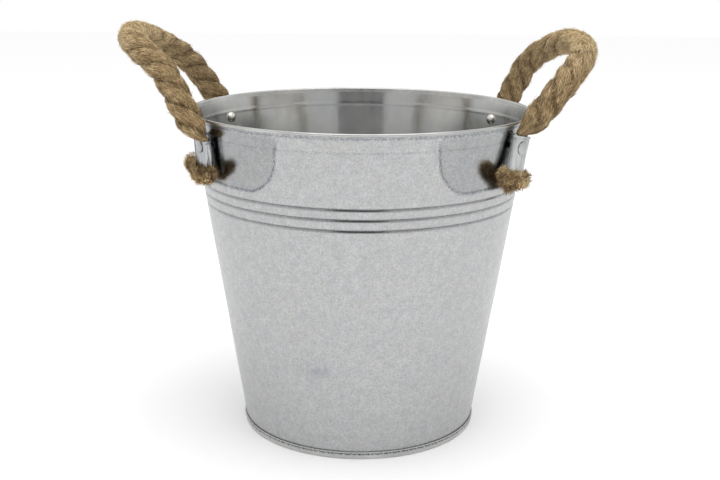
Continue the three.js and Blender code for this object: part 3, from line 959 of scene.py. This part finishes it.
END_HALF_WIDTH = 18.8 * MM
END_HALF_HEIGHT = 5.6 * MM
END_HALF_DEPTH = 5.0 * MM
END_STANDOFF = 6.9 * MM
FRONT_RISE = 2.5 * MM  # of the part in front of the sleeve
END_CURL = 7.5 * MM
END_RINGS = 50
END_COLUMNS = 72
END_OFF_WALL = 0.6 * MM
TUFT_OFF_WALL = 1.2 * MM
TUFTS = 240
END_FIBRES = 2800


def crescent(unit_points, swell, drop, shift):
    """Bends a lumpy ball into the crescent that curls up on both sides of the sleeve."""
    swell = swell * (1 + 0.5 * unit_points[:, 1] ** 2)
    x = END_STANDOFF + unit_points[:, 0] * END_HALF_DEPTH * swell
    y = unit_points[:, 1] * END_HALF_WIDTH + shift
    z = unit_points[:, 2] * END_HALF_HEIGHT * 0.9 * swell - drop + END_CURL * unit_points[:, 1] ** 2
    z = z + FRONT_RISE * smooth_step(0, 0.9, unit_points[:, 0])
    return np.column_stack([x, y, z])


def lumps(points, seed):
    """How far a lumpy ball swells or sinks at each of its points. It is 1 on average."""
    random = np.random.default_rng(seed)
    total = np.zeros(len(points))
    for scale, amount in ((3.0, 0.19), (5.5, 0.20), (9.0, 0.15), (17.0, 0.06)):
        for _ in range(3):
            wave = random.normal(0, 1, 3)
            wave = wave / np.linalg.norm(wave) * scale
            total += amount * np.sin(points @ wave + random.uniform(0, TURN))
    return 1 + total * 0.9


def make_frayed_end(name, wall, drop, shift, seed):
    """The opened rope below a sleeve: a lumpy core, yarns that curl out of the sleeve, and loose fibres."""
    random = np.random.default_rng(seed)
    turn = np.arange(END_COLUMNS) * TURN / END_COLUMNS
    around, down = np.meshgrid(turn, np.linspace(0, math.pi, END_RINGS)[1:-1])
    ball = np.stack([np.sin(down) * np.cos(around), -np.cos(down), np.sin(down) * np.sin(around)], axis=-1)
    ball = np.vstack([ball.reshape(-1, 3), [[0, -1, 0], [0, 1, 0]]])
    points = crescent(ball * 0.84, lumps(ball, seed), drop, shift)
    faces = grid_quads(END_RINGS - 2, END_COLUMNS)[:, ::-1].tolist()
    first, last = len(points) - 2, len(points) - 1
    top_row = (END_RINGS - 3) * END_COLUMNS
    for i in range(END_COLUMNS):
        j = (i + 1) % END_COLUMNS
        faces.append([first, i, j])
        faces.append([last, top_row + j, top_row + i])
    points[:, 0] = np.maximum(points[:, 0], END_OFF_WALL)
    core = make_piece(f"{name}_frayed_end", placed(wall, points), faces, FIBRE_JUTE, "jute_rope", "bucket",
                      [f"{name}_rope_end"])
    # The core is kept dark: painted shade between the yarns that curl over it.
    add_values(core, "tone", 0.2 + 0.22 * random.random(len(points)))

    aim = unit(random.normal(0, 1, (TUFTS, 3)) * [1, 1.3, 1])
    finish = crescent(aim * random.uniform(0.75, 1.04, (TUFTS, 1)), lumps(aim, seed), drop, shift)
    start = np.column_stack([finish[:, 0] * 0.5 + SLEEVE_STANDOFF * 0.5, finish[:, 1] * 0.38,
                             np.full(TUFTS, -SLEEVE_LENGTH / 2 - 2 * MM)])
    bend = np.column_stack([finish[:, 0], finish[:, 1] * 0.7, finish[:, 2] * 0.7 - 8 * MM])
    t = np.linspace(0, 1, 9)[None, :, None]
    tufts = start[:, None] * (1 - t) ** 2 + 2 * bend[:, None] * t * (1 - t) + finish[:, None] * t**2
    tufts[..., 0] = np.maximum(tufts[..., 0], TUFT_OFF_WALL)
    tuft_tone = random.uniform(0.3, 0.8, TUFTS)

    base = unit(random.normal(0, 1, (END_FIBRES, 3)))
    inner = crescent(base * 0.93, lumps(base, seed), drop, shift)
    outward = unit(base * [1 / END_HALF_DEPTH, 0.6 / END_HALF_WIDTH, 1 / END_HALF_HEIGHT])
    sideways = np.sign(base[:, 1:2]) * np.array([0.0, 1.0, 0.55])
    flow = sideways + random.normal(0, 0.8, (END_FIBRES, 3))
    flow = unit(flow - outward * np.sum(flow * outward, axis=1, keepdims=True) * 0.9)
    length = random.uniform(1.5 * MM, 5 * MM, END_FIBRES)[:, None, None]
    t = np.linspace(0, 1, 5)[None, :, None]
    lines = inner[:, None, :] + length * (flow[:, None, :] * t + outward[:, None, :] * (0.36 * t * t - 0.02))
    lines[..., 0] = np.maximum(lines[..., 0], END_OFF_WALL)
    for label, shape, thick, tone, tip in (
        ("yarns", tufts, random.uniform(0.4 * MM, 0.85 * MM, TUFTS), tuft_tone, 0.5),
        ("fibres", lines, random.uniform(0.10 * MM, 0.24 * MM, END_FIBRES),
         random.beta(0.6, 0.6, END_FIBRES) * 0.75 + 0.04 + 0.5 * (lumps(base, seed) - 0.98), 0.4),
    ):
        sides = 7 if label == "yarns" else 3
        points, faces = hairs(shape, thick, sides, tip)
        piece = make_piece(f"{name}_frayed_{label}", placed(wall, points), faces, FIBRE_JUTE, "jute_rope",
                           "bucket")
        add_values(piece, "tone", np.repeat(tone, sides * shape.shape[1]))


for handle in HANDLES:
    rope = ropes[handle["side"]]
    lift = rivet_lift(handle)
    for number, ((end, along), wall) in enumerate(zip(ENDS, rope.walls)):
        name = f"{handle['side']}_{end}"
        seed = handle["seed"] * 10 + number
        wedge = -along * handle["outward"] * handle["wedge"]
        make_sleeve(name, wall, wedge, lift, seed)
        make_rivet(name, wall, wedge, lift)
        shift = along * handle["outward"] * handle["end_shift"]
        make_frayed_end(name, wall, handle["end_drop"], shift, seed + 3)


# Studio

FLOOR_SIZE = 8


def staged(name, points, faces, material):
    """A surface of the studio, which isn't part of the object."""
    mesh = bpy.data.meshes.new(name)
    mesh.from_pydata(points, [], faces)
    mesh.materials.append(material)
    thing = bpy.data.objects.new(name, mesh)
    scene.collection.objects.link(thing)
    return thing


def plain(name, colour):
    material, _, shader = new_material(name)
    shader.inputs["Base Color"].default_value = colour
    shader.inputs["Roughness"].default_value = 0.9
    shader.inputs["Specular IOR Level"].default_value = 0.0
    return material


def emitting(name, level):
    material = bpy.data.materials.new(name)
    material.use_nodes = True
    tree = material.node_tree
    tree.nodes.remove(tree.nodes["Principled BSDF"])
    glow = add_node(tree, "ShaderNodeEmission", {"Color": (level, level, level, 1), "Strength": 1.0})
    tree.links.new(glow.outputs["Emission"], tree.nodes["Material Output"].inputs["Surface"])
    return material


half = FLOOR_SIZE / 2
staged("floor", [(-half, -half, 0), (half, -half, 0), (half, half, 0), (-half, half, 0)], [(0, 1, 2, 3)],
       plain("floor_white", (0.97, 0.97, 0.97, 1)))


def card(name, left, right, low, high, depth, level):
    """An upright card behind the camera that only shows in reflections."""
    corners = [(left, depth, low), (right, depth, low), (right, depth, high), (left, depth, high)]
    thing = staged(name, corners, [(0, 1, 2, 3)], emitting(name, level))
    thing.visible_camera = False
    thing.visible_diffuse = False
    thing.visible_shadow = False
    thing.visible_transmission = False
    thing.visible_volume_scatter = False


card("room_card", left=-1.6, right=1.6, low=0.18, high=1.4, depth=-1.30, level=0.78)
card("dark_card", left=-0.30, right=0.30, low=0.365, high=0.85, depth=-0.90, level=0.11)

world = bpy.data.worlds.new("studio")
world.use_nodes = True
world.node_tree.nodes["Background"].inputs["Color"].default_value = (1, 1, 1, 1)
world.node_tree.nodes["Background"].inputs["Strength"].default_value = 1.0
scene.world = world


def soft_light(name, place, aim, size, energy):
    data = bpy.data.lights.new(name, "AREA")
    data.shape = "SQUARE"
    data.size = size
    data.energy = energy
    light = bpy.data.objects.new(name, data)
    light.location = place
    light.rotation_euler = (Vector(aim) - Vector(place)).to_track_quat("-Z", "Y").to_euler()
    scene.collection.objects.link(light)


soft_light("top_light", place=(0.1, -0.3, 1.5), aim=(0, 0, 0.1), size=1.4, energy=9)

scene.view_settings.view_transform = "Standard"
